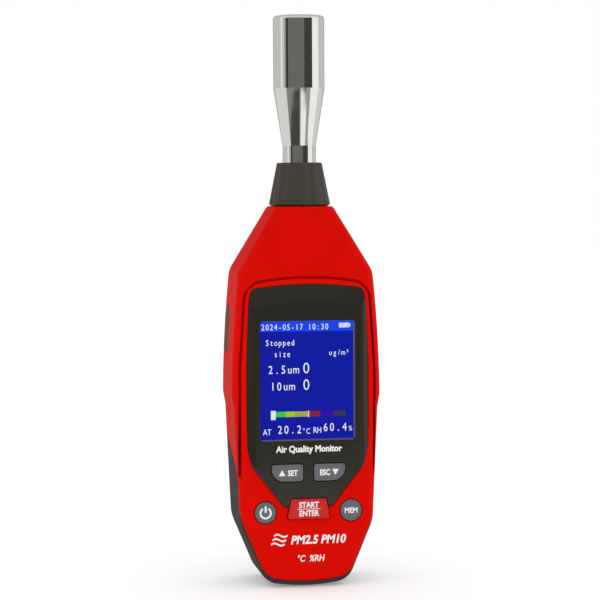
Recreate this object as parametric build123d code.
"""Handheld air quality monitor (particle counter with temperature and humidity).

Working frame while modelling, in millimetres: X to the right of someone facing the display, +Y to the
back, +Z up.  Z = 0 is the lowest point of the body and the inlet's axis is X = Y = 0.  export() moves
every piece so that the origin is the mouth of the tripod socket in the back face.
"""
import math
import os

from build123d import *

# ---------------------------------------------------------------- driving dimensions
# Body
BODY_HEIGHT = 127.3
BODY_WIDTH = 50.4
BODY_DEPTH = 29.0
SHOULDER_DROP = 21.5        # shoulder corner below the body's top
SHOULDER_INSET = 2.4        # how much narrower than the wings each side is there
SHOULDER_RADIUS = 7.0
NECK_HALF_WIDTH = 10.4      # top of the sloping shoulders
NECK_SETBACK = 3.2          # the neck is shallower than the body by this at front and back
NECK_CHAMFER = 0.7
WING_STEP_Z = 64.3          # lower end of the wings
WING_STEP_HEIGHT = 4.5
WING_STEP_INSET = 0.8
WING_STEP_RADIUS = 3.0
WING_BULGE = 0.5            # how far the wing's side is bowed outward
HEEL_Z = 21.6               # corner above the tapered foot
HEEL_INSET = 2.5
HEEL_RADIUS = 14.0
FOOT_HALF_WIDTH = 14.3
FOOT_RISE = 1.6
FOOT_RADIUS = 7.0
EDGE_RADIUS = 4.0
LEAST_EDGE_RADIUS = 0.7     # kept on the innermost surfaces
SIDE_KNEE_DROP = 3.5        # the back starts to lean in this far below the shoulder corner
SIDE_KNEE_RADIUS = 25.0

# Shells
HOOD_THICKNESS = 1.5
WALL = 1.7
FIT_GAP = 0.1               # between pieces seated in one another
PARTING_Y = -7.0
PARTING_GAP = 0.15
FOOT_RIM = 2.2              # rear case visible below the front cover
GROOVE_WIDTH = 0.9
HOOD_TIP_Z = 36.3           # hood's lower edge, at the front face
HOOD_HEM_RISE = 16.0        # how much higher the lower edge is at the back face
BACK_PANEL_HALF_WIDTH = 17.0
ROOT = 0.6                  # posts and ribs run this far into the wall they stand on
CUT = 1.0                   # cutting shapes run this far past what they cut

# Front opening of the hood
ARCH_DROP = 23.0            # middle of the arch below the body's top
ARCH_SAG = 1.6
ARCH_SPRING_INSET = 5.3     # ends of the arch in from the sides of the opening
ARCH_CORNER_DROP = 28.5
ARCH_CORNER_INSET = 1.7
ARCH_CORNER_RADIUS = 5.0
ARCH_SIDE_DROP = 54.0
GROOVE_SIDE_MARGIN = 2.0    # sides of the opening in from the wings

# Display lens, measured down from the body's top
LENS_TOP_DROP = 25.7
LENS_HEIGHT = 74.4
LENS_HALF_WIDTH = 20.5
LENS_FOOT_HALF = 8.2
LENS_THICKNESS = 1.9
LENS_PROUD = 0.8
LENS_BEVEL = 0.5
LENS_ROLL_WIDTH = 3.5       # sides of the lens curve back over this width
LENS_ROLL_DEPTH = 1.0       # and by this much at the edge
LENS_CORNERS_UP = (         # from the foot: inset from the half width, height above the foot, radius
    (1.7, 13.6, 4.0),
    (0.2, 19.6, 6.0),
    (0.0, 27.0, 0.0),
)
LENS_CORNERS_DOWN = (       # near the top: inset from the half width, drop below the top, radius
    (0.0, 26.0, 0.0),
    (0.7, 8.0, 12.0),
    (1.5, 1.5, 2.6),
)
LENS_RECESS_GAP = 0.15
BROW_HEIGHT = 5.8           # sloping band across the top of the lens
BROW_RADIUS = 86.0
BROW_DEPTH = 0.75
WINDOW_THICKNESS = 1.0
WINDOW_SEAT = 1.0           # ledge behind the lens frame that the window's flange sits on
WINDOW_CORNER = 1.2
WINDOW_BEVEL = 0.25

# Screen: 2.0 inch colour display of 176 x 220 dots
SCREEN_WIDTH = 31.68
SCREEN_HEIGHT = 39.6
SCREEN_TOP_DROP = 38.1
SCREEN_MARGIN = 0.5         # window round the active area
PANEL_SIDE = 2.0
PANEL_TAIL = 4.0            # driver ledge below the active area
PANEL_THICKNESS = 2.4
SCREEN_THICKNESS = 0.3
HOLDER_WALL = 1.6
POCKET_GAP = 0.3
SNUG = 0.02                 # hairline gap between pieces that touch
GASKET_THICKNESS = 0.7

# Keys
KEY_TRAVEL = 0.7
KEY_GAP = 0.3
KEY_PROUD = 0.4
KEY_RIM = 0.55              # raised rim round the shallow dish of each key
KEY_DISH = 0.12
KEY_FLANGE = 0.7
KEY_FLANGE_THICKNESS = 0.6
KEY_STOP_GAP = 0.15
KEY_STEM_RADIUS = 1.3
SWITCH_HEIGHT = 0.4
SWITCH_WIDTH = 4.2
SWITCH_BUTTON_RADIUS = 1.4
SWITCH_GAP = 0.1            # left between stem and switch when pressed fully
PAIR_INNER_X = 1.85
PAIR_WIDTH = 10.6
PAIR_HEIGHT = 5.7
PAIR_DROP = 88.6            # centre of the SET and ESC keys below the body's top
PAIR_CORNER = 0.9
PAIR_OUTER_CORNER = 4.2
ROUND_KEY_RADIUS = 3.6
ROUND_KEY_X = 14.5
ROUND_KEY_DROP = 101.8
START_TOP_DROP = 97.4
START_HEIGHT = 6.8
START_TOP_HALF = 5.95
START_BOTTOM_HALF = 7.15
START_CORNER = 0.8

# Main board
BOARD_THICKNESS = 1.6
BOARD_CORNER = 2.0
BOARD_SIDE_GAP = 0.9
BOARD_FOOT_TAPER = 5.0      # each lower corner cut back this far in width
BOARD_FOOT_RISE = 8.0       # and this far in height
BOARD_TOP_DROP = 26.0
BOARD_BOTTOM_Z = 16.3
BOARD_BEHIND_FACE = 5.9     # front of the board behind the body's front face
BOARD_POST_RADIUS = 2.0
BOARD_SCREW_RADIUS = 0.7
BOARD_SCREW_HEAD_RADIUS = 1.5
BOARD_SCREW_HEAD_HEIGHT = 0.9
BOARD_SCREW_GRIP = 2.0      # length in the post
BOARD_HOLE_RADIUS = 1.05
BOARD_SCREW_LOW = (3.2, 2.8)    # lower holes: in from the foot's corner, up from the foot
BOARD_SCREW_HIGH = (2.4, 2.6)   # upper holes: in from the side, down from the top
CHIPS = {                   # centre x, rise above the board's foot, width, height, thickness
    "processor": (4.0, 44.5, 9.0, 9.0, 1.0),
    "memory": (12.0, 33.5, 5.0, 6.0, 0.9),
    "charger": (-13.0, 29.0, 4.0, 4.0, 0.8),
    "amplifier": (12.5, 47.0, 5.0, 4.0, 0.9),
}
CLOCK_CELL_PLACE = (-8.0, 45.0)
CLOCK_CELL_RADIUS = 4.8
CLOCK_CELL_THICKNESS = 1.4
BUZZER_PLACE = (0.0, 33.0)
BUZZER_RADIUS = 4.0
BUZZER_HOLE_RADIUS = 0.8
BUZZER_THICKNESS = 1.3

# Inlet
COLLAR_HEIGHT = 14.1
COLLAR_TOP_RADIUS = 7.6
COLLAR_BASE_RADIUS = 10.4
COLLAR_NECK_RADIUS = 9.7    # just above the body; the neck widens upward to meet the cone
COLLAR_FOOT_RADIUS = 8.4    # through the hood, down to the case
COLLAR_NECK_HEIGHT = 0.6
COLLAR_RIM_RADIUS = 0.5
COLLAR_FUNNEL_HEIGHT = 6.0
COLLAR_SPIGOT_RADIUS = 6.2
COLLAR_SPIGOT_LENGTH = 8.4
COLLAR_SEAT_DEPTH = 12.7    # depth of the nozzle's seat from the collar's top
FLUTE_COUNT = 12
FLUTE_DEPTH = 0.3
FLUTE_RADIUS = 4.0
NOZZLE_LENGTH = 62.0        # whole nozzle, seated end included
NOZZLE_HEAD_RADIUS = 8.6
NOZZLE_HEAD_LENGTH = 24.4
NOZZLE_CONE_LENGTH = 19.2
NOZZLE_SHANK_RADIUS = 5.6
NOZZLE_RIM_RADIUS = 1.2
NOZZLE_WALL = 1.2
NOZZLE_CLEARANCE = 0.08
O_RING_SECTION = 0.65
O_RING_GAP = 0.05
GLAND_HEIGHT = 1.5
O_RING_DROP = 6.0           # below the collar's top
NUT_HEIGHT = 3.0
NUT_WALL = 1.2              # least wall round the spigot
AIRWAY_RADIUS = 1.3
BARB_RADIUS = 2.0
BARB_LENGTH = 5.0
TUBE_WALL = 1.1

# Optical sensor and fan
SENSOR_WIDTH = 28.0
SENSOR_HEIGHT = 31.0
SENSOR_DEPTH = 8.4
SENSOR_WALL = 1.4
SENSOR_LEFT_X = -9.0
SENSOR_TOP_DROP = 25.5
SENSOR_LID_THICKNESS = 1.0
SENSOR_BEHIND_BOARD = 1.6
SENSOR_OUTLET_INSET = 2.5   # outlet's radius less than the fan's bore
LASER_RADIUS = 2.2
LASER_LENGTH = 9.0
LASER_DROP = 9.0
LASER_TIP_LENGTH = 1.5
DIODE_SIZE = 3.0
DIODE_THICKNESS = 1.2
DIODE_PAST_LASER = 2.5
FAN_SIZE = 25.0
FAN_THICKNESS = 7.6
FAN_BORE_RADIUS = 11.2
FAN_TIP_GAP = 0.6
FAN_HUB_RADIUS = 5.4
FAN_BLADES = 7
FAN_SHAFT_RADIUS = 0.9
FAN_SHAFT_CLEARANCE = 0.04
FAN_X = 4.0
FAN_ARMS = 3
FAN_ARM_WIDTH = 1.4
FAN_SPIDER_THICKNESS = 1.2
FAN_END_GAP = 0.5           # rotor clear of the sensor box and of the spider
FAN_BLADE_PITCH = 38.0
FAN_BLADE_THICKNESS = 0.9
VENT_SLOTS = 5
VENT_PITCH = 3.6
VENT_HEIGHT = 1.7

# Battery and sundries
BATTERY_WIDTH = 31.0
BATTERY_HEIGHT = 35.0
BATTERY_THICKNESS = 9.6
BATTERY_BOTTOM_Z = 15.5
BATTERY_CORNER = 2.0
FOAM_THICKNESS = 0.8
FOAM_MARGIN = 3.0
SOCKET_Z = 60.3             # tripod socket above the foot
SOCKET_RADIUS = 2.55        # bore of a 1/4 inch-20 thread
SOCKET_LENGTH = 7.0
INSERT_RADIUS = 4.4
BOSS_WALL = 1.6
SCREW_RADIUS = 1.1
SCREW_HEAD_RADIUS = 2.2
SCREW_HEAD_HEIGHT = 1.4
SCREW_LENGTH = 13.0
SCREW_RECESS = 4.0
SCREW_CLEARANCE = 0.25      # round the shank, in the rear case
SCREW_HEAD_CLEARANCE = 0.3
SCREW_PILOT_DEPTH = 9.5
SCREW_SLOT = (2.6, 0.8, 0.6)    # length, width and twice the depth of each arm of the cross
POST_RADIUS = 2.7
POST_JOINT_Y = 1.5
UPPER_SCREW_X = 14.6
UPPER_SCREW_DROP = 21.6
LOWER_SCREW_X = 10.2
LOWER_SCREW_Z = 11.4
HUMIDITY_X = 12.5
HUMIDITY_BOARD_HALF = (4.5, 5.0)
HUMIDITY_BOARD_THICKNESS = 0.8
HUMIDITY_CHIP_HALF = 1.5
HUMIDITY_CHIP_HEIGHT = 1.1
HUMIDITY_BEHIND_WALL = 0.4
HUMIDITY_SLITS = (-2.4, 0.0, 2.4)   # above the socket's axis
HUMIDITY_SLIT_HALF = (3.0, 0.5)
LABEL_DEPTH = 0.5
LABEL_THICKNESS = 0.3
LABEL_GAP = 0.15
LABEL_HALF_WIDTH = 13.0
LABEL_Z = (18.0, 45.0)

# Side port and its rubber cover
PORT_HEIGHT = 16.5
PORT_DEPTH = 9.4
PORT_Y = 4.8
PORT_DROP = 41.6            # centre of the port below the body's top
PORT_COVER_GAP = 0.25
PORT_COVER_THICKNESS = 1.4
PORT_TAB_LENGTH = 1.5
PORT_TAB_MARGIN = 1.6
PORT_WALL_LIP = 0.9         # rear case narrower than the hood round the port
USB_WIDTH = 7.7
USB_HEIGHT = 3.9
USB_LENGTH = 8.4
USB_WALL = 0.45
USB_TONGUE = (1.6, 0.7, 2.4)    # rise, thickness and half width
PORT_BOARD_THICKNESS = 1.0
PORT_BOARD_BELOW = 9.4
PORT_BOARD_ABOVE = 8.4
PORT_SHELF_HEIGHT = 3.0

# ---------------------------------------------------------------- places worked out from these
FRONT = -BODY_DEPTH / 2
BACK = BODY_DEPTH / 2
WING_HALF = BODY_WIDTH / 2
NECK_HALF_DEPTH = BODY_DEPTH / 2 - NECK_SETBACK
SHOULDER_Z = BODY_HEIGHT - SHOULDER_DROP
HEEL_HALF = WING_HALF - HEEL_INSET
BODY_INSET = HOOD_THICKNESS + FIT_GAP
CAVITY_INSET = BODY_INSET + WALL
CAVITY_FRONT = FRONT + CAVITY_INSET
CAVITY_BACK = BACK - CAVITY_INSET
BOARD_FRONT = FRONT + BOARD_BEHIND_FACE
BOARD_BACK = BOARD_FRONT + BOARD_THICKNESS
BOARD_HALF = HEEL_HALF - CAVITY_INSET - BOARD_SIDE_GAP
BOARD_TOP = BODY_HEIGHT - BOARD_TOP_DROP
LENS_TOP = BODY_HEIGHT - LENS_TOP_DROP
LENS_BOTTOM = LENS_TOP - LENS_HEIGHT
LENS_FRONT = FRONT - LENS_PROUD
LENS_BACK = LENS_FRONT + LENS_THICKNESS
SCREEN_TOP = BODY_HEIGHT - SCREEN_TOP_DROP
SCREEN_MID = SCREEN_TOP - SCREEN_HEIGHT / 2
PANEL_FRONT = LENS_BACK + GASKET_THICKNESS
PANEL_BACK = PANEL_FRONT + SCREEN_THICKNESS + PANEL_THICKNESS
COLLAR_SEAT_Z = BODY_HEIGHT - BODY_INSET
COLLAR_TOP = BODY_HEIGHT + COLLAR_NECK_HEIGHT + COLLAR_HEIGHT
NOZZLE_FOOT = COLLAR_TOP - COLLAR_SEAT_DEPTH
SPIGOT_END = COLLAR_SEAT_Z - COLLAR_SPIGOT_LENGTH
SENSOR_TOP = BODY_HEIGHT - SENSOR_TOP_DROP
SENSOR_FRONT = BOARD_BACK + SENSOR_BEHIND_BOARD
SENSOR_BACK = SENSOR_FRONT + SENSOR_DEPTH
FAN_BACK = CAVITY_BACK - FIT_GAP
FAN_FRONT = FAN_BACK - FAN_THICKNESS
FAN_Z = SENSOR_TOP - SENSOR_HEIGHT / 2
PORT_Z = BODY_HEIGHT - PORT_DROP
SCREW_HEAD_SEAT = BACK - SCREW_RECESS
SCREW_PLACES = [
    (side * x, z)
    for x, z in ((UPPER_SCREW_X, BODY_HEIGHT - UPPER_SCREW_DROP), (LOWER_SCREW_X, LOWER_SCREW_Z))
    for side in (-1, 1)
]
PORT_BOARD_Y = PORT_Y - USB_HEIGHT / 2 - PORT_BOARD_THICKNESS
PORT_BOARD_TOP = PORT_Z + PORT_BOARD_ABOVE
PORT_BOARD_LEAN = SHOULDER_INSET * (PORT_BOARD_TOP - WING_STEP_Z) / (SHOULDER_Z - WING_STEP_Z)
PORT_BOARD_X = (-WING_HALF + CAVITY_INSET + PORT_BOARD_LEAN + FIT_GAP, SENSOR_LEFT_X - ROOT)
BOARD_SCREW_PLACES = [
    (side * x, z)
    for x, z in (
        (BOARD_HALF - BOARD_FOOT_TAPER - BOARD_SCREW_LOW[0], BOARD_BOTTOM_Z + BOARD_SCREW_LOW[1]),
        (BOARD_HALF - BOARD_SCREW_HIGH[0], BOARD_TOP - BOARD_SCREW_HIGH[1]),
    )
    for side in (-1, 1)
]


# ---------------------------------------------------------------- small helpers
def block(x0, x1, y0, y1, z0, z1):
    """Box between two corners."""
    box = Box(x1 - x0, y1 - y0, z1 - z0)
    return Pos((x0 + x1) / 2, (y0 + y1) / 2, (z0 + z1) / 2) * box


def rod_y(radius, x, z, y0, y1):
    """Cylinder along Y."""
    return Pos(x, (y0 + y1) / 2, z) * Rot(90, 0, 0) * Cylinder(radius, y1 - y0)


def rod_x(radius, y, z, x0, x1):
    """Cylinder along X."""
    return Pos((x0 + x1) / 2, y, z) * Rot(0, 90, 0) * Cylinder(radius, x1 - x0)


def rod_z(radius, z0, z1, x=0, y=0):
    """Cylinder along Z."""
    return Pos(x, y, (z0 + z1) / 2) * Cylinder(radius, z1 - z0)


def prism_y(face, y0, y1):
    """Extrude a face drawn in X and Z from depth y0 to depth y1."""
    return extrude(Plane.XZ.offset(-y1) * face, y1 - y0)


def half_turned(points):
    """Points of a symmetric outline: the right half as given, then the left half back."""
    return points + [(-x, z) for x, z in reversed(points) if x > 0]


def rounded(face, corners):
    """The face with chosen corners rounded: corners lists (x, z, radius), for both sides."""
    for x, z, radius in corners:
        picked = [v for v in face.vertices() if abs(abs(v.X) - abs(x)) < 0.01 and abs(v.Y - z) < 0.01]
        if radius:
            face = fillet(picked, radius)
    return face


def polygon(points, corners=()):
    """Closed outline through the points, with chosen corners rounded."""
    return rounded(make_face(Polyline(*points, close=True)), corners)


def hex_prism(across_corners, z0, z1):
    """Hexagonal prism along Z."""
    face = RegularPolygon(across_corners / 2, 6)
    return Pos(0, 0, z0) * extrude(face, z1 - z0)


# ---------------------------------------------------------------- body envelope
def front_outline(inset):
    """Outline of the body seen from the front, drawn in by inset."""
    shoulder = (WING_HALF - SHOULDER_INSET, SHOULDER_Z)
    wing_foot = (WING_HALF, WING_STEP_Z)
    bulge = (
        (shoulder[0] + wing_foot[0]) / 2 + WING_BULGE,
        (shoulder[1] + wing_foot[1]) / 2,
    )
    waist = (WING_HALF - WING_STEP_INSET, WING_STEP_Z - WING_STEP_HEIGHT)
    heel = (HEEL_HALF, HEEL_Z)
    foot = (FOOT_HALF_WIDTH, FOOT_RISE)
    neck = (NECK_HALF_WIDTH, BODY_HEIGHT - NECK_CHAMFER)
    crown = (NECK_HALF_WIDTH - NECK_CHAMFER, BODY_HEIGHT)
    right = [
        Line(foot, heel),
        Line(heel, waist),
        Line(waist, wing_foot),
        ThreePointArc(wing_foot, bulge, shoulder),
        Line(shoulder, neck),
        Line(neck, crown),
    ]
    left = [mirror(edge, Plane.YZ) for edge in right]
    sole = ThreePointArc((-foot[0], foot[1]), (0, 0), foot)
    lid = Line(crown, (-crown[0], crown[1]))
    face = make_face(Curve() + [sole, lid] + right + left)
    corners = (
        (*foot, FOOT_RADIUS),
        (*heel, HEEL_RADIUS),
        (*waist, WING_STEP_RADIUS),
        (*wing_foot, WING_STEP_RADIUS),
        (*shoulder, SHOULDER_RADIUS),
    )
    face = rounded(face, corners)
    return offset(face, -inset, kind=Kind.ARC) if inset else face


def side_outline(inset):
    """Outline of the body seen from the side: deep at the display, slimmer at the neck."""
    below = -EDGE_RADIUS * 2
    knee = SHOULDER_Z - SIDE_KNEE_DROP
    right = [(BACK, below), (BACK, knee), (NECK_HALF_DEPTH, BODY_HEIGHT)]
    face = polygon(half_turned(right), [(BACK, knee, SIDE_KNEE_RADIUS)])
    return offset(face, -inset, kind=Kind.ARC) if inset else face


def envelope(inset):
    """The whole outer shape of the body, drawn in by inset, with its long edges rounded."""
    deep = extrude(Plane.XZ * front_outline(inset), BODY_DEPTH, both=True)
    wide = extrude(Plane.YZ * side_outline(inset), BODY_WIDTH, both=True)
    solid = deep & wide
    top = BODY_HEIGHT - inset
    long_edges = []
    for edge in solid.edges():
        box = edge.bounding_box()
        on_top = box.min.Z > top - 0.01
        along_y = box.size.X < 0.01 and box.size.Z < 0.01
        outer = all(abs(edge.position_at(t).Y) > NECK_HALF_DEPTH - CUT - inset for t in (0, 0.5, 1))
        if outer and not on_top and not along_y:
            long_edges.append(edge)
    return fillet(long_edges, max(EDGE_RADIUS - inset, LEAST_EDGE_RADIUS))


def opening_outline(shrink, side_half):
    """Arched opening of the hood, from the arch down past the body's foot."""
    foot = (side_half - shrink, -BODY_DEPTH)
    hip = (side_half - shrink, BODY_HEIGHT - ARCH_SIDE_DROP)
    corner = (side_half - ARCH_CORNER_INSET - shrink, BODY_HEIGHT - ARCH_CORNER_DROP)
    corners = [(*corner, ARCH_CORNER_RADIUS)]
    spring = (side_half - ARCH_SPRING_INSET - shrink / 2, BODY_HEIGHT - ARCH_DROP - ARCH_SAG - shrink)
    crest = (0, BODY_HEIGHT - ARCH_DROP - shrink)
    right = [Line(foot, hip), Line(hip, corner), Line(corner, spring)]
    left = [mirror(edge, Plane.YZ) for edge in right]
    arch = ThreePointArc(spring, crest, (-spring[0], spring[1]))
    sole = Line((-foot[0], foot[1]), foot)
    corners.append((*spring, ARCH_CORNER_RADIUS))
    return rounded(make_face(Curve() + [arch, sole] + right + left), corners)


def hood_zone(shrink):
    """Space that the hood covers, less its openings; shrink narrows the openings."""
    reach = BODY_WIDTH
    slope = HOOD_HEM_RISE / BODY_DEPTH
    low_front = HOOD_TIP_Z - slope * BODY_DEPTH - shrink / 3
    low_back = HOOD_TIP_Z + 2 * slope * BODY_DEPTH - shrink / 3
    side = make_face(
        Polyline(
            (FRONT - BODY_DEPTH, low_front),
            (BACK + BODY_DEPTH, low_back),
            (BACK + BODY_DEPTH, BODY_HEIGHT + 20),
            (FRONT - BODY_DEPTH, BODY_HEIGHT + 20),
            close=True,
        )
    )
    zone = extrude(Plane.YZ * side, reach, both=True)
    front_side = WING_HALF - GROOVE_SIDE_MARGIN
    front_open = prism_y(opening_outline(shrink, front_side), FRONT - 5, 0)
    back_open = prism_y(opening_outline(shrink, BACK_PANEL_HALF_WIDTH), 0, BACK + 5)
    return zone - front_open - back_open


# ---------------------------------------------------------------- outlines on the front
def lens_outline(grow):
    """Outline of the display lens: arched top, tapered foot."""
    corners = [(LENS_HALF_WIDTH - inset, LENS_BOTTOM + rise, r) for inset, rise, r in LENS_CORNERS_UP]
    corners += [(LENS_HALF_WIDTH - inset, LENS_TOP - drop, r) for inset, drop, r in LENS_CORNERS_DOWN]
    right = [(LENS_FOOT_HALF, LENS_BOTTOM)] + [(x, z) for x, z, _ in corners]
    sides = [Line(a, b) for a, b in zip(right, right[1:])]
    sides += [mirror(edge, Plane.YZ) for edge in sides]
    spring = right[-1]
    arch = ThreePointArc(spring, (0, LENS_TOP), (-spring[0], spring[1]))
    sole = Line((-LENS_FOOT_HALF, LENS_BOTTOM), right[0])
    face = rounded(make_face(Curve() + [arch, sole] + sides), corners)
    return offset(face, grow, kind=Kind.ARC) if grow else face


def pair_key_outline(side):
    """SET or ESC key: rounded rectangle with a large radius at its lower outer corner."""
    inner = side * PAIR_INNER_X
    outer = side * (PAIR_INNER_X + PAIR_WIDTH)
    middle = BODY_HEIGHT - PAIR_DROP
    low = middle - PAIR_HEIGHT / 2
    high = middle + PAIR_HEIGHT / 2
    corners = [
        (inner, low, PAIR_CORNER),
        (outer, low, PAIR_OUTER_CORNER),
        (outer, high, PAIR_CORNER),
        (inner, high, PAIR_CORNER),
    ]
    return polygon([(x, z) for x, z, _ in corners], corners)


def round_key_outline(side):
    """Power or MEM key."""
    return Pos(side * ROUND_KEY_X, BODY_HEIGHT - ROUND_KEY_DROP) * Circle(ROUND_KEY_RADIUS)


def start_key_outline():
    """START/ENTER key: trapezoid, wider at its foot."""
    high = BODY_HEIGHT - START_TOP_DROP
    low = high - START_HEIGHT
    right = [(START_BOTTOM_HALF, low), (START_TOP_HALF, high)]
    corners = [(START_BOTTOM_HALF, low, START_CORNER), (START_TOP_HALF, high, START_CORNER)]
    return polygon(half_turned(right), corners)


KEYS = {
    "power_button": round_key_outline(-1),
    "memory_button": round_key_outline(1),
    "start_button": start_key_outline(),
    "set_button": pair_key_outline(-1),
    "escape_button": pair_key_outline(1),
}
KEY_FRONTS = {
    "power_button": FRONT - KEY_PROUD,
    "memory_button": FRONT - KEY_PROUD,
    "start_button": LENS_FRONT - KEY_PROUD,
    "set_button": LENS_FRONT - KEY_PROUD,
    "escape_button": LENS_FRONT - KEY_PROUD,
}


def middle_of(face):
    """Centre of a key's box, as X and Z."""
    centre = face.bounding_box().center()
    return centre.X, centre.Y


def port_outline(grow):
    """Rounded slot in the side wall, drawn in Y and Z."""
    width = PORT_DEPTH + 2 * grow
    height = PORT_HEIGHT + 2 * grow
    return Pos(PORT_Y, PORT_Z) * RectangleRounded(width, height, width / 2 - 0.05)


# ---------------------------------------------------------------- shells
def make_shells():
    """Hood, front cover and rear case, before their details."""
    outer = envelope(0)
    hood = (outer - envelope(HOOD_THICKNESS)) & hood_zone(0)
    hood -= rod_z(COLLAR_FOOT_RADIUS + FIT_GAP, BODY_HEIGHT - EDGE_RADIUS, BODY_HEIGHT + CUT)
    body = outer - ((outer - envelope(BODY_INSET)) & hood_zone(GROOVE_WIDTH))
    body -= envelope(CAVITY_INSET)
    body -= rod_z(COLLAR_SPIGOT_RADIUS + FIT_GAP, COLLAR_SEAT_Z - WALL - CUT, COLLAR_SEAT_Z + CUT)
    kept = Pos(0, FOOT_RIM) * front_outline(0)
    removed = Pos(0, FOOT_RIM - PARTING_GAP) * front_outline(0)
    front_part = prism_y(kept, FRONT - CUT, PARTING_Y)
    front_space = prism_y(removed, FRONT - CUT, PARTING_Y + PARTING_GAP)
    return hood, body & front_part, body - front_space


def make_hood(hood):
    """Red outer hood with the side port's opening."""
    return hood - port_slot(0)


def make_front_cover(cover):
    """Red front cover with the lens recess, screen window, key holes and inner posts."""
    cover -= prism_y(lens_outline(LENS_RECESS_GAP), FRONT - CUT, LENS_BACK)
    cover -= prism_y(screen_face(SCREEN_MARGIN), FRONT - CUT, CAVITY_FRONT + CUT)
    cover -= panel_pocket()
    for face in KEYS.values():
        cover -= prism_y(offset(face, KEY_GAP, kind=Kind.ARC), FRONT - CUT, CAVITY_FRONT + CUT)
    for x, z in SCREW_PLACES:
        cover += rod_y(POST_RADIUS, x, z, CAVITY_FRONT - ROOT, POST_JOINT_Y)
        cover -= rod_y(SCREW_RADIUS + SNUG, x, z, POST_JOINT_Y - SCREW_PILOT_DEPTH, POST_JOINT_Y + CUT)
    for x, z in BOARD_SCREW_PLACES:
        cover += rod_y(BOARD_POST_RADIUS, x, z, CAVITY_FRONT - ROOT, BOARD_FRONT)
        cover -= rod_y(
            BOARD_SCREW_RADIUS + SNUG, x, z, BOARD_FRONT - BOARD_SCREW_GRIP - 2 * FIT_GAP, BOARD_FRONT + CUT
        )
    return cover


def panel_pocket():
    """Pocket behind the window wall that the display panel drops into."""
    return prism_y(panel_face(POCKET_GAP), PANEL_FRONT - GASKET_THICKNESS / 2, CAVITY_FRONT + CUT)


def make_rear_case(case):
    """Dark rear case with socket boss, screw posts, vents, label recess and port opening."""
    for x, z in SCREW_PLACES:
        case += rod_y(POST_RADIUS, x, z, POST_JOINT_Y + FIT_GAP, CAVITY_BACK + ROOT)
        case -= rod_y(SCREW_RADIUS + SCREW_CLEARANCE, x, z, POST_JOINT_Y - CUT, BACK)
        case -= rod_y(SCREW_HEAD_RADIUS + SCREW_HEAD_CLEARANCE, x, z, SCREW_HEAD_SEAT, BACK + CUT)
    boss_end = BACK - SOCKET_LENGTH - BOSS_WALL
    case += rod_y(INSERT_RADIUS + BOSS_WALL, 0, SOCKET_Z, boss_end, CAVITY_BACK + ROOT)
    case -= rod_y(INSERT_RADIUS, 0, SOCKET_Z, BACK - SOCKET_LENGTH, BACK + CUT)
    for index in range(VENT_SLOTS):
        rise = (index - (VENT_SLOTS - 1) / 2) * VENT_PITCH
        reach = math.sqrt((FAN_BORE_RADIUS - CUT) ** 2 - rise**2)
        case -= wall_slit(FAN_X, FAN_Z + rise, reach, VENT_HEIGHT / 2)
    for rise in HUMIDITY_SLITS:
        case -= wall_slit(HUMIDITY_X, SOCKET_Z + rise, *HUMIDITY_SLIT_HALF)
    case -= label_block(0.0, LABEL_DEPTH)
    case -= port_slot(-PORT_COVER_GAP - PORT_WALL_LIP)
    shelf = block(
        PORT_BOARD_X[0] - CUT, PORT_BOARD_X[1],
        PORT_BOARD_Y + PORT_BOARD_THICKNESS, CAVITY_BACK + ROOT,
        PORT_Z - PORT_BOARD_BELOW, PORT_Z - PORT_BOARD_BELOW + PORT_SHELF_HEIGHT,
    )
    case += shelf & envelope(CAVITY_INSET - ROOT)
    return case


def wall_slit(x, z, half_width, half_height):
    """Slit through the back wall."""
    return block(
        x - half_width, x + half_width, CAVITY_BACK - CUT, BACK + CUT, z - half_height, z + half_height
    )


def label_block(gap, thickness):
    """Label on the back, or its recess."""
    return block(
        -LABEL_HALF_WIDTH + gap, LABEL_HALF_WIDTH - gap,
        BACK - LABEL_DEPTH, BACK - LABEL_DEPTH + thickness,
        LABEL_Z[0] + gap, LABEL_Z[1] - gap,
    )


def port_slot(grow):
    """Cutting shape for the port, through the left side wall."""
    return extrude(Plane.YZ.offset(-BODY_WIDTH) * port_outline(grow), BODY_WIDTH)


# ---------------------------------------------------------------- pieces in the front
def lens_stock():
    """Bar with the lens's cross section: flat in the middle, curving back at both sides."""
    flat = LENS_HALF_WIDTH - LENS_ROLL_WIDTH
    radius = (LENS_ROLL_WIDTH**2 + LENS_ROLL_DEPTH**2) / (2 * LENS_ROLL_DEPTH)

    def on_arc(reach):
        return (flat + reach, LENS_FRONT + radius - math.sqrt(radius**2 - reach**2))

    end = on_arc(LENS_ROLL_WIDTH + CUT)
    heel = (end[0], LENS_BACK + CUT)
    arc = ThreePointArc((flat, LENS_FRONT), on_arc(LENS_ROLL_WIDTH / 2), end)
    sides = [arc, Line(end, heel)]
    sides += [mirror(edge, Plane.YZ) for edge in sides]
    front = Line((-flat, LENS_FRONT), (flat, LENS_FRONT))
    back = Line((-heel[0], heel[1]), heel)
    section = make_face(Curve() + [front, back] + sides)
    return Pos(0, 0, LENS_BOTTOM - CUT) * extrude(section, LENS_HEIGHT + 2 * CUT)


def brow_cut():
    """What is cut away above the brow's lower edge: the space outside a very flat cone."""
    rise = BROW_HEIGHT + 3 * CUT
    depth = BROW_DEPTH * rise / BROW_HEIGHT
    low = LENS_TOP - BROW_HEIGHT
    cone = Cone(BROW_RADIUS + rise, BROW_RADIUS, depth)
    cone = Pos(0, LENS_FRONT + depth / 2, low - BROW_RADIUS) * Rot(90, 0, 0) * cone
    reach = LENS_HALF_WIDTH + CUT
    return block(-reach, reach, LENS_FRONT, LENS_FRONT + depth, low - BROW_HEIGHT, LENS_TOP + CUT) - cone


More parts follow.
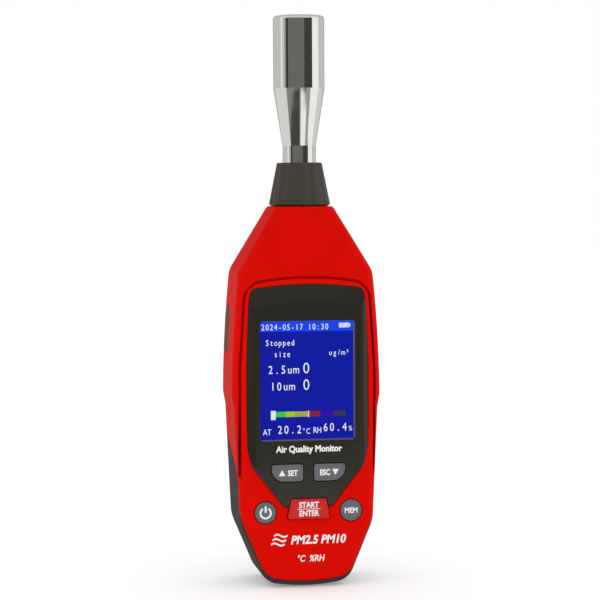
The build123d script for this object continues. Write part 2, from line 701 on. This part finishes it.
def window_outline(shrink):
    """Opening of the lens frame in front of the screen."""
    width = SCREEN_WIDTH + SCREEN_MARGIN - 2 * shrink
    height = SCREEN_HEIGHT + SCREEN_MARGIN - 2 * shrink
    return Pos(0, SCREEN_MID) * RectangleRounded(width, height, WINDOW_CORNER - shrink)


def window_flange(shrink):
    """Seat behind the lens frame for the window's flange."""
    width = SCREEN_WIDTH + 2 * (SCREEN_MARGIN + WINDOW_SEAT - shrink)
    height = SCREEN_HEIGHT + 2 * (SCREEN_MARGIN + WINDOW_SEAT - shrink)
    return Pos(0, SCREEN_MID) * RectangleRounded(width, height, WINDOW_CORNER - shrink)


def make_lens_bezel():
    """Dark glossy lens frame: bevelled edge, rolled sides, sloping brow and a stepped window seat."""
    bezel = prism_y(lens_outline(0), LENS_FRONT, LENS_BACK)
    front_face = bezel.faces().sort_by(Axis.Y)[0]
    bezel = chamfer(front_face.edges(), LENS_BEVEL)
    bezel &= lens_stock()
    bezel -= brow_cut()
    bezel -= prism_y(window_flange(0), LENS_BACK - WINDOW_THICKNESS, LENS_BACK + CUT)
    bezel -= prism_y(window_outline(0), LENS_FRONT - CUT, LENS_BACK + CUT)
    for name in ("start_button", "set_button", "escape_button"):
        bezel -= prism_y(offset(KEYS[name], KEY_GAP, kind=Kind.ARC), LENS_FRONT - CUT, LENS_BACK + CUT)
    return bezel


def make_display_window():
    """Clear pane: a flange seated behind the bezel and a bevelled middle flush with its front."""
    middle = prism_y(window_outline(FIT_GAP / 2), LENS_FRONT + FIT_GAP / 2, LENS_BACK)
    middle = chamfer(middle.faces().sort_by(Axis.Y)[0].edges(), WINDOW_BEVEL)
    return middle + prism_y(window_flange(FIT_GAP), LENS_BACK - WINDOW_THICKNESS + FIT_GAP / 2, LENS_BACK)


def panel_face(grow):
    """Outline of the display panel, driver ledge included."""
    half = SCREEN_WIDTH / 2 + PANEL_SIDE + grow
    low = SCREEN_TOP - SCREEN_HEIGHT - PANEL_TAIL - grow
    high = SCREEN_TOP + PANEL_SIDE + grow
    return polygon([(-half, low), (half, low), (half, high), (-half, high)])


def screen_face(grow):
    """Outline of the active area."""
    return Pos(0, SCREEN_MID) * Rectangle(SCREEN_WIDTH + 2 * grow, SCREEN_HEIGHT + 2 * grow)


def make_display_gasket():
    """Foam ring that keeps dust out between the lens and the panel."""
    ring = screen_face(SCREEN_MARGIN - SNUG) - screen_face(0.0)
    return prism_y(ring, LENS_BACK, PANEL_FRONT)


def make_lcd_screen():
    """Front glass of the display, as large as the picture."""
    return prism_y(screen_face(-SNUG), PANEL_FRONT, PANEL_FRONT + SCREEN_THICKNESS)


def make_lcd_panel():
    """Display module: backlight tray and metal frame behind and round the front glass."""
    tray = prism_y(panel_face(0), PANEL_FRONT, PANEL_BACK)
    return tray - prism_y(screen_face(0), PANEL_FRONT - CUT, PANEL_FRONT + SCREEN_THICKNESS)


def make_display_holder():
    """Plastic frame that spaces the display off the board."""
    ring = panel_face(-2 * FIT_GAP) - panel_face(-2 * FIT_GAP - HOLDER_WALL)
    return prism_y(ring, PANEL_BACK, BOARD_FRONT)


def make_key(name):
    """Rubber key: dished cap, retaining flange and stem."""
    face = KEYS[name]
    front = KEY_FRONTS[name]
    flange_front = CAVITY_FRONT + KEY_STOP_GAP
    flange_back = flange_front + KEY_FLANGE_THICKNESS
    cap = prism_y(face, front, flange_back)
    cap = fillet(cap.faces().sort_by(Axis.Y)[0].edges(), KEY_PROUD)
    cap -= prism_y(offset(face, -KEY_RIM, kind=Kind.ARC), front - CUT, front + KEY_DISH)
    cap += prism_y(offset(face, KEY_FLANGE, kind=Kind.ARC), flange_front, flange_back)
    x, z = middle_of(face)
    stem_end = BOARD_FRONT - SWITCH_HEIGHT - SWITCH_GAP - KEY_TRAVEL
    return cap + rod_y(KEY_STEM_RADIUS, x, z, flange_back - 2 * FIT_GAP, stem_end)


def make_tact_switches():
    """One low switch on the board behind each key."""
    switches = []
    for face in KEYS.values():
        x, z = middle_of(face)
        half = SWITCH_WIDTH / 2
        body = block(x - half, x + half, BOARD_FRONT - SWITCH_HEIGHT / 2, BOARD_FRONT, z - half, z + half)
        switches.append(body + rod_y(SWITCH_BUTTON_RADIUS, x, z, BOARD_FRONT - SWITCH_HEIGHT, BOARD_FRONT))
    return Compound(children=switches)


def make_main_board():
    """Main circuit board on the front cover's posts."""
    right = [
        (BOARD_HALF - BOARD_FOOT_TAPER, BOARD_BOTTOM_Z),
        (BOARD_HALF, BOARD_BOTTOM_Z + BOARD_FOOT_RISE),
        (BOARD_HALF, BOARD_TOP),
    ]
    outline = polygon(half_turned(right), [(BOARD_HALF, BOARD_TOP, BOARD_CORNER)])
    board = prism_y(outline, BOARD_FRONT, BOARD_BACK)
    for x, z in BOARD_SCREW_PLACES:
        board -= rod_y(BOARD_HOLE_RADIUS, x, z, BOARD_FRONT - CUT, BOARD_BACK + CUT)
    return board


def make_board_chips():
    """Integrated circuits on the back of the main board."""
    chips = []
    for x, rise, width, height, thickness in CHIPS.values():
        chip = Box(width, thickness, height)
        chips.append(Pos(x, BOARD_BACK + thickness / 2, BOARD_BOTTOM_Z + rise) * chip)
    return Compound(children=chips)


def make_board_screws():
    """Four small screws through the board."""
    screws = []
    for x, z in BOARD_SCREW_PLACES:
        head = rod_y(BOARD_SCREW_HEAD_RADIUS, x, z, BOARD_BACK, BOARD_BACK + BOARD_SCREW_HEAD_HEIGHT)
        shank = rod_y(BOARD_SCREW_RADIUS, x, z, BOARD_FRONT - BOARD_SCREW_GRIP, BOARD_BACK + FIT_GAP)
        screws.append(head + shank)
    return Compound(children=screws)


def make_clock_cell():
    """Coin cell that keeps the clock, on the back of the board."""
    x, rise = CLOCK_CELL_PLACE
    return rod_y(CLOCK_CELL_RADIUS, x, BOARD_BOTTOM_Z + rise, BOARD_BACK, BOARD_BACK + CLOCK_CELL_THICKNESS)


def make_buzzer():
    """Small round alarm sounder on the back of the board."""
    x, rise = BUZZER_PLACE
    z = BOARD_BOTTOM_Z + rise
    body = rod_y(BUZZER_RADIUS, x, z, BOARD_BACK, BOARD_BACK + BUZZER_THICKNESS)
    return body - rod_y(BUZZER_HOLE_RADIUS, x, z, BOARD_BACK + BUZZER_THICKNESS / 2, BOARD_BACK + 2 * CUT)


# ---------------------------------------------------------------- inlet
def cone_z(low_radius, high_radius, z0, z1):
    """Cone along Z, or a cylinder when both radii agree."""
    if low_radius == high_radius:
        return rod_z(low_radius, z0, z1)
    return Pos(0, 0, (z0 + z1) / 2) * Cone(low_radius, high_radius, z1 - z0)


def make_collar():
    """Fluted conical collar that carries the nozzle, with a threaded spigot and a hose barb."""
    cone_foot = BODY_HEIGHT + COLLAR_NECK_HEIGHT
    collar = cone_z(COLLAR_BASE_RADIUS, COLLAR_TOP_RADIUS, cone_foot, COLLAR_TOP)
    collar = fillet(collar.edges().sort_by(Axis.Z)[-1], COLLAR_RIM_RADIUS)
    lean = math.degrees(math.atan((COLLAR_BASE_RADIUS - COLLAR_TOP_RADIUS) / COLLAR_HEIGHT))
    middle_radius = (COLLAR_BASE_RADIUS + COLLAR_TOP_RADIUS) / 2
    flute = Pos(middle_radius + FLUTE_RADIUS - FLUTE_DEPTH, 0, (cone_foot + COLLAR_TOP) / 2)
    flute = flute * Rot(0, -lean, 0) * Cylinder(FLUTE_RADIUS, COLLAR_HEIGHT * 2)
    for index in range(FLUTE_COUNT):
        collar -= Rot(0, 0, 360 / FLUTE_COUNT * (index + 0.5)) * flute
    neck_foot = BODY_HEIGHT + FIT_GAP
    collar += cone_z(COLLAR_NECK_RADIUS, COLLAR_BASE_RADIUS - FLUTE_DEPTH, neck_foot, cone_foot)
    collar += rod_z(COLLAR_FOOT_RADIUS, COLLAR_SEAT_Z, neck_foot)
    collar += rod_z(COLLAR_SPIGOT_RADIUS, SPIGOT_END, COLLAR_SEAT_Z)
    collar += rod_z(BARB_RADIUS, SPIGOT_END - BARB_LENGTH, SPIGOT_END)
    funnel_foot = NOZZLE_FOOT - COLLAR_FUNNEL_HEIGHT
    collar -= rod_z(NOZZLE_SHANK_RADIUS + NOZZLE_CLEARANCE, NOZZLE_FOOT - FIT_GAP, COLLAR_TOP + CUT)
    collar -= cone_z(AIRWAY_RADIUS, NOZZLE_SHANK_RADIUS - NOZZLE_WALL, funnel_foot, NOZZLE_FOOT)
    collar -= rod_z(AIRWAY_RADIUS, SPIGOT_END - BARB_LENGTH - CUT, funnel_foot + CUT)
    gland_radius = NOZZLE_SHANK_RADIUS + 2 * (O_RING_SECTION + O_RING_GAP) + O_RING_GAP
    gland = rod_z(gland_radius, -GLAND_HEIGHT / 2, GLAND_HEIGHT / 2)
    collar -= Pos(0, 0, COLLAR_TOP - O_RING_DROP) * gland
    return collar


def make_o_ring():
    """Seal in the collar's gland, round the nozzle's shank."""
    ring = Torus(NOZZLE_SHANK_RADIUS + O_RING_SECTION + O_RING_GAP, O_RING_SECTION)
    return Pos(0, 0, COLLAR_TOP - O_RING_DROP) * ring


def make_collar_nut():
    """Hexagon nut that clamps the collar to the case from inside."""
    top = BODY_HEIGHT - CAVITY_INSET - FIT_GAP
    across_flats = 2 * (COLLAR_SPIGOT_RADIUS + NUT_WALL)
    nut = hex_prism(across_flats / math.cos(math.radians(30)), top - NUT_HEIGHT, top)
    return nut - rod_z(COLLAR_SPIGOT_RADIUS, top - NUT_HEIGHT - CUT, top + CUT)


def make_inlet_nozzle():
    """Polished inlet: wide head, cone and shank, open all the way through."""
    top = NOZZLE_FOOT + NOZZLE_LENGTH
    cone_top = top - NOZZLE_HEAD_LENGTH
    cone_foot = cone_top - NOZZLE_CONE_LENGTH
    nozzle = rod_z(NOZZLE_HEAD_RADIUS, cone_top, top)
    nozzle = fillet(nozzle.edges().sort_by(Axis.Z)[-1], NOZZLE_RIM_RADIUS)
    nozzle += cone_z(NOZZLE_SHANK_RADIUS, NOZZLE_HEAD_RADIUS, cone_foot, cone_top)
    nozzle += rod_z(NOZZLE_SHANK_RADIUS, NOZZLE_FOOT, cone_foot)
    head_bore = NOZZLE_HEAD_RADIUS - NOZZLE_WALL
    shank_bore = NOZZLE_SHANK_RADIUS - NOZZLE_WALL
    nozzle -= rod_z(head_bore, cone_top, top + CUT)
    nozzle -= cone_z(shank_bore, head_bore, cone_foot, cone_top)
    nozzle -= rod_z(shank_bore, NOZZLE_FOOT - CUT, cone_foot)
    return nozzle


def make_sampling_tube():
    """Silicone tube from the collar's barb to the sensor's inlet."""
    low = SENSOR_TOP + 2 * FIT_GAP
    high = SPIGOT_END - 2 * FIT_GAP
    return rod_z(BARB_RADIUS + TUBE_WALL, low, high) - rod_z(BARB_RADIUS, low - CUT, high + CUT)


# ---------------------------------------------------------------- optical sensor and fan
def make_sensor_housing():
    """Black sensor box, open at the front under its lid, with an inlet barb and a fan outlet."""
    x0, x1 = SENSOR_LEFT_X, SENSOR_LEFT_X + SENSOR_WIDTH
    z0 = SENSOR_TOP - SENSOR_HEIGHT
    lid_back = SENSOR_FRONT + SENSOR_LID_THICKNESS
    housing = block(x0, x1, lid_back, SENSOR_BACK, z0, SENSOR_TOP)
    w = SENSOR_WALL
    housing -= block(x0 + w, x1 - w, lid_back - CUT, SENSOR_BACK - w, z0 + w, SENSOR_TOP - w)
    outlet_radius = FAN_BORE_RADIUS - SENSOR_OUTLET_INSET
    housing -= rod_y(outlet_radius, FAN_X, FAN_Z, SENSOR_BACK - w - CUT, SENSOR_BACK + CUT)
    housing += rod_z(BARB_RADIUS, SENSOR_TOP - ROOT, SENSOR_TOP + BARB_LENGTH - ROOT)
    housing -= rod_z(AIRWAY_RADIUS, SENSOR_TOP - w - CUT, SENSOR_TOP + BARB_LENGTH)
    return housing


def make_sensor_lid():
    """Flat lid over the sensor box."""
    x0 = SENSOR_LEFT_X
    z0 = SENSOR_TOP - SENSOR_HEIGHT
    return block(x0, x0 + SENSOR_WIDTH, SENSOR_FRONT, SENSOR_FRONT + SENSOR_LID_THICKNESS, z0, SENSOR_TOP)


def laser_y():
    """Depth of the laser beam, in the middle of the box."""
    return (SENSOR_FRONT + SENSOR_LID_THICKNESS + SENSOR_BACK - SENSOR_WALL) / 2


def make_laser_module():
    """Brass laser barrel lying across the air stream."""
    x0 = SENSOR_LEFT_X + SENSOR_WALL
    z = SENSOR_TOP - LASER_DROP
    barrel_end = x0 + LASER_LENGTH - LASER_TIP_LENGTH
    barrel = rod_x(LASER_RADIUS, laser_y(), z, x0, barrel_end)
    tip = rod_x(LASER_RADIUS * 2 / 3, laser_y(), z, barrel_end - ROOT, x0 + LASER_LENGTH)
    return barrel + tip


def make_photodiode():
    """Light detector beside the beam, on the lid."""
    z = SENSOR_TOP - LASER_DROP
    y0 = SENSOR_FRONT + SENSOR_LID_THICKNESS
    x = SENSOR_LEFT_X + SENSOR_WALL + LASER_LENGTH + DIODE_PAST_LASER
    half = DIODE_SIZE / 2
    return block(x - half, x + half, y0, y0 + DIODE_THICKNESS, z - half, z + half)


def make_fan_frame():
    """Square fan frame with a spider that holds the rotor's shaft."""
    half = FAN_SIZE / 2
    frame = block(FAN_X - half, FAN_X + half, FAN_FRONT, FAN_BACK, FAN_Z - half, FAN_Z + half)
    frame -= rod_y(FAN_BORE_RADIUS, FAN_X, FAN_Z, FAN_FRONT - CUT, FAN_BACK + CUT)
    spider_front = FAN_BACK - FAN_SPIDER_THICKNESS
    spider = rod_y(FAN_HUB_RADIUS, FAN_X, FAN_Z, spider_front, FAN_BACK)
    arm = Box(FAN_ARM_WIDTH, FAN_SPIDER_THICKNESS, FAN_BORE_RADIUS)
    arm = Pos(0, 0, FAN_BORE_RADIUS / 2 + FIT_GAP) * arm
    hub = Pos(FAN_X, (spider_front + FAN_BACK) / 2, FAN_Z)
    for index in range(FAN_ARMS):
        spider += hub * Rot(0, 360 / FAN_ARMS * index + 45, 0) * arm
    shaft_hole = FAN_SHAFT_RADIUS + FAN_SHAFT_CLEARANCE
    return frame + spider - rod_y(shaft_hole, FAN_X, FAN_Z, spider_front - CUT, FAN_BACK + CUT)


def make_fan_rotor():
    """Fan rotor: hub, pitched blades and shaft."""
    front = FAN_FRONT + FAN_END_GAP
    back = FAN_BACK - FAN_SPIDER_THICKNESS - FAN_END_GAP
    middle = (front + back) / 2
    tip = FAN_BORE_RADIUS - FAN_TIP_GAP
    root = FAN_HUB_RADIUS - ROOT
    blade = Box(FAN_BLADE_THICKNESS, (back - front) * 0.9, tip - root)
    blade = Pos(0, 0, (root + tip) / 2) * Rot(0, 0, FAN_BLADE_PITCH) * blade
    swept = rod_y(tip, 0, 0, -BODY_DEPTH, BODY_DEPTH)
    rotor = rod_y(FAN_HUB_RADIUS, FAN_X, FAN_Z, front, back)
    for index in range(FAN_BLADES):
        turned = Rot(0, 360 / FAN_BLADES * index, 0) * blade
        rotor += Pos(FAN_X, middle, FAN_Z) * (turned & swept)
    return rotor + rod_y(FAN_SHAFT_RADIUS, FAN_X, FAN_Z, back - CUT, FAN_BACK - FIT_GAP)


# ---------------------------------------------------------------- rear pieces
def make_battery():
    """Flat rechargeable cell in the lower back."""
    half = BATTERY_WIDTH / 2
    back = CAVITY_BACK - FOAM_THICKNESS
    low = BATTERY_BOTTOM_Z
    cell = block(-half, half, back - BATTERY_THICKNESS, back, low, low + BATTERY_HEIGHT)
    return fillet(cell.edges().filter_by(Axis.Z), BATTERY_CORNER)


def make_battery_foam():
    """Foam pad between the cell and the rear case."""
    half = BATTERY_WIDTH / 2 - FOAM_MARGIN
    low = BATTERY_BOTTOM_Z + FOAM_MARGIN
    high = BATTERY_BOTTOM_Z + BATTERY_HEIGHT - FOAM_MARGIN
    return block(-half, half, CAVITY_BACK - FOAM_THICKNESS, CAVITY_BACK, low, high)


def make_tripod_insert():
    """Brass insert with a 1/4 inch tripod thread."""
    front = BACK - SOCKET_LENGTH
    insert = rod_y(INSERT_RADIUS, 0, SOCKET_Z, front, BACK)
    return insert - rod_y(SOCKET_RADIUS, 0, SOCKET_Z, front - CUT, BACK + CUT)


def make_case_screws():
    """Four screws that close the case from the back."""
    screws = []
    for x, z in SCREW_PLACES:
        head_top = SCREW_HEAD_SEAT + SCREW_HEAD_HEIGHT
        head = rod_y(SCREW_HEAD_RADIUS, x, z, SCREW_HEAD_SEAT, head_top)
        for angle in (0, 90):
            head -= Pos(x, head_top, z) * Rot(0, angle, 0) * Box(*SCREW_SLOT)
        shank = rod_y(SCREW_RADIUS, x, z, SCREW_HEAD_SEAT - SCREW_LENGTH, SCREW_HEAD_SEAT + 2 * FIT_GAP)
        screws.append(head + shank)
    return Compound(children=screws)


def make_humidity_sensor():
    """Temperature and humidity sensor on its own small board behind the slits."""
    chip_back = CAVITY_BACK - HUMIDITY_BEHIND_WALL
    chip_front = chip_back - HUMIDITY_CHIP_HEIGHT
    board_back = chip_front + FIT_GAP
    half_width, half_height = HUMIDITY_BOARD_HALF
    board = block(
        HUMIDITY_X - half_width, HUMIDITY_X + half_width,
        board_back - HUMIDITY_BOARD_THICKNESS, board_back,
        SOCKET_Z - half_height, SOCKET_Z + half_height,
    )
    half = HUMIDITY_CHIP_HALF
    chip = block(
        HUMIDITY_X - half, HUMIDITY_X + half, chip_front, chip_back, SOCKET_Z - half, SOCKET_Z + half
    )
    return board + chip


def make_port_board():
    """Small board that carries the charging connector."""
    return block(
        *PORT_BOARD_X,
        PORT_BOARD_Y, PORT_BOARD_Y + PORT_BOARD_THICKNESS,
        PORT_Z - PORT_BOARD_BELOW, PORT_BOARD_TOP,
    )


def make_usb_connector():
    """Charging and data socket, its mouth at the port."""
    x0 = PORT_BOARD_X[0] - ROOT
    x1 = x0 + USB_LENGTH
    y0 = PORT_BOARD_Y + PORT_BOARD_THICKNESS
    half = USB_WIDTH / 2
    mouth_half = half - USB_WALL
    shell = block(x0, x1, y0, y0 + USB_HEIGHT, PORT_Z - half, PORT_Z + half)
    mouth = block(
        x0 - CUT, x1 - 1.5 * CUT,
        y0 + USB_WALL, y0 + USB_HEIGHT - USB_WALL,
        PORT_Z - mouth_half, PORT_Z + mouth_half,
    )
    rise, thickness, tongue_half = USB_TONGUE
    tongue = block(
        x0 + CUT, x1 - CUT, y0 + rise, y0 + rise + thickness, PORT_Z - tongue_half, PORT_Z + tongue_half
    )
    return shell - mouth + tongue


def make_port_cover():
    """Rubber cover that closes the side port, hinged along its rear edge."""
    skin = envelope(0) - envelope(PORT_COVER_THICKNESS)
    cover = skin & port_slot(-PORT_COVER_GAP)
    plug_plane = Plane.YZ.offset(-WING_HALF + PORT_COVER_THICKNESS)
    plug = extrude(plug_plane * port_outline(-PORT_TAB_MARGIN - PORT_COVER_GAP), PORT_TAB_LENGTH)
    return cover + (plug & envelope(PORT_COVER_THICKNESS - 3 * FIT_GAP))


# ---------------------------------------------------------------- export
def export(name, shape):
    """Write one node, moved so that the origin is the tripod socket's mouth."""
    moved = Pos(0, -BACK, -SOCKET_Z) * shape
    export_step(moved, f"parts/{name}.step")


def main():
    os.makedirs("parts", exist_ok=True)
    hood, cover, case = make_shells()
    pieces = {
        "hood": make_hood(hood),
        "front_cover": make_front_cover(cover),
        "rear_case": make_rear_case(case),
        "lens_bezel": make_lens_bezel(),
        "display_window": make_display_window(),
        "display_gasket": make_display_gasket(),
        "lcd_screen": make_lcd_screen(),
        "lcd_panel": make_lcd_panel(),
        "display_holder": make_display_holder(),
        "main_board": make_main_board(),
        "board_chips": make_board_chips(),
        "board_screws": make_board_screws(),
        "tact_switches": make_tact_switches(),
        "clock_cell": make_clock_cell(),
        "buzzer": make_buzzer(),
        "collar": make_collar(),
        "collar_o_ring": make_o_ring(),
        "collar_nut": make_collar_nut(),
        "inlet_nozzle": make_inlet_nozzle(),
        "sampling_tube": make_sampling_tube(),
        "sensor_housing": make_sensor_housing(),
        "sensor_lid": make_sensor_lid(),
        "laser_module": make_laser_module(),
        "photodiode": make_photodiode(),
        "fan_frame": make_fan_frame(),
        "fan_rotor": make_fan_rotor(),
        "battery": make_battery(),
        "battery_foam": make_battery_foam(),
        "tripod_insert": make_tripod_insert(),
        "case_screws": make_case_screws(),
        "humidity_sensor": make_humidity_sensor(),
        "rating_label": label_block(LABEL_GAP, LABEL_THICKNESS),
        "port_board": make_port_board(),
        "usb_connector": make_usb_connector(),
        "port_cover": make_port_cover(),
    }
    for name in KEYS:
        pieces[name] = make_key(name)
    for name, shape in pieces.items():
        export(name, shape)


main()
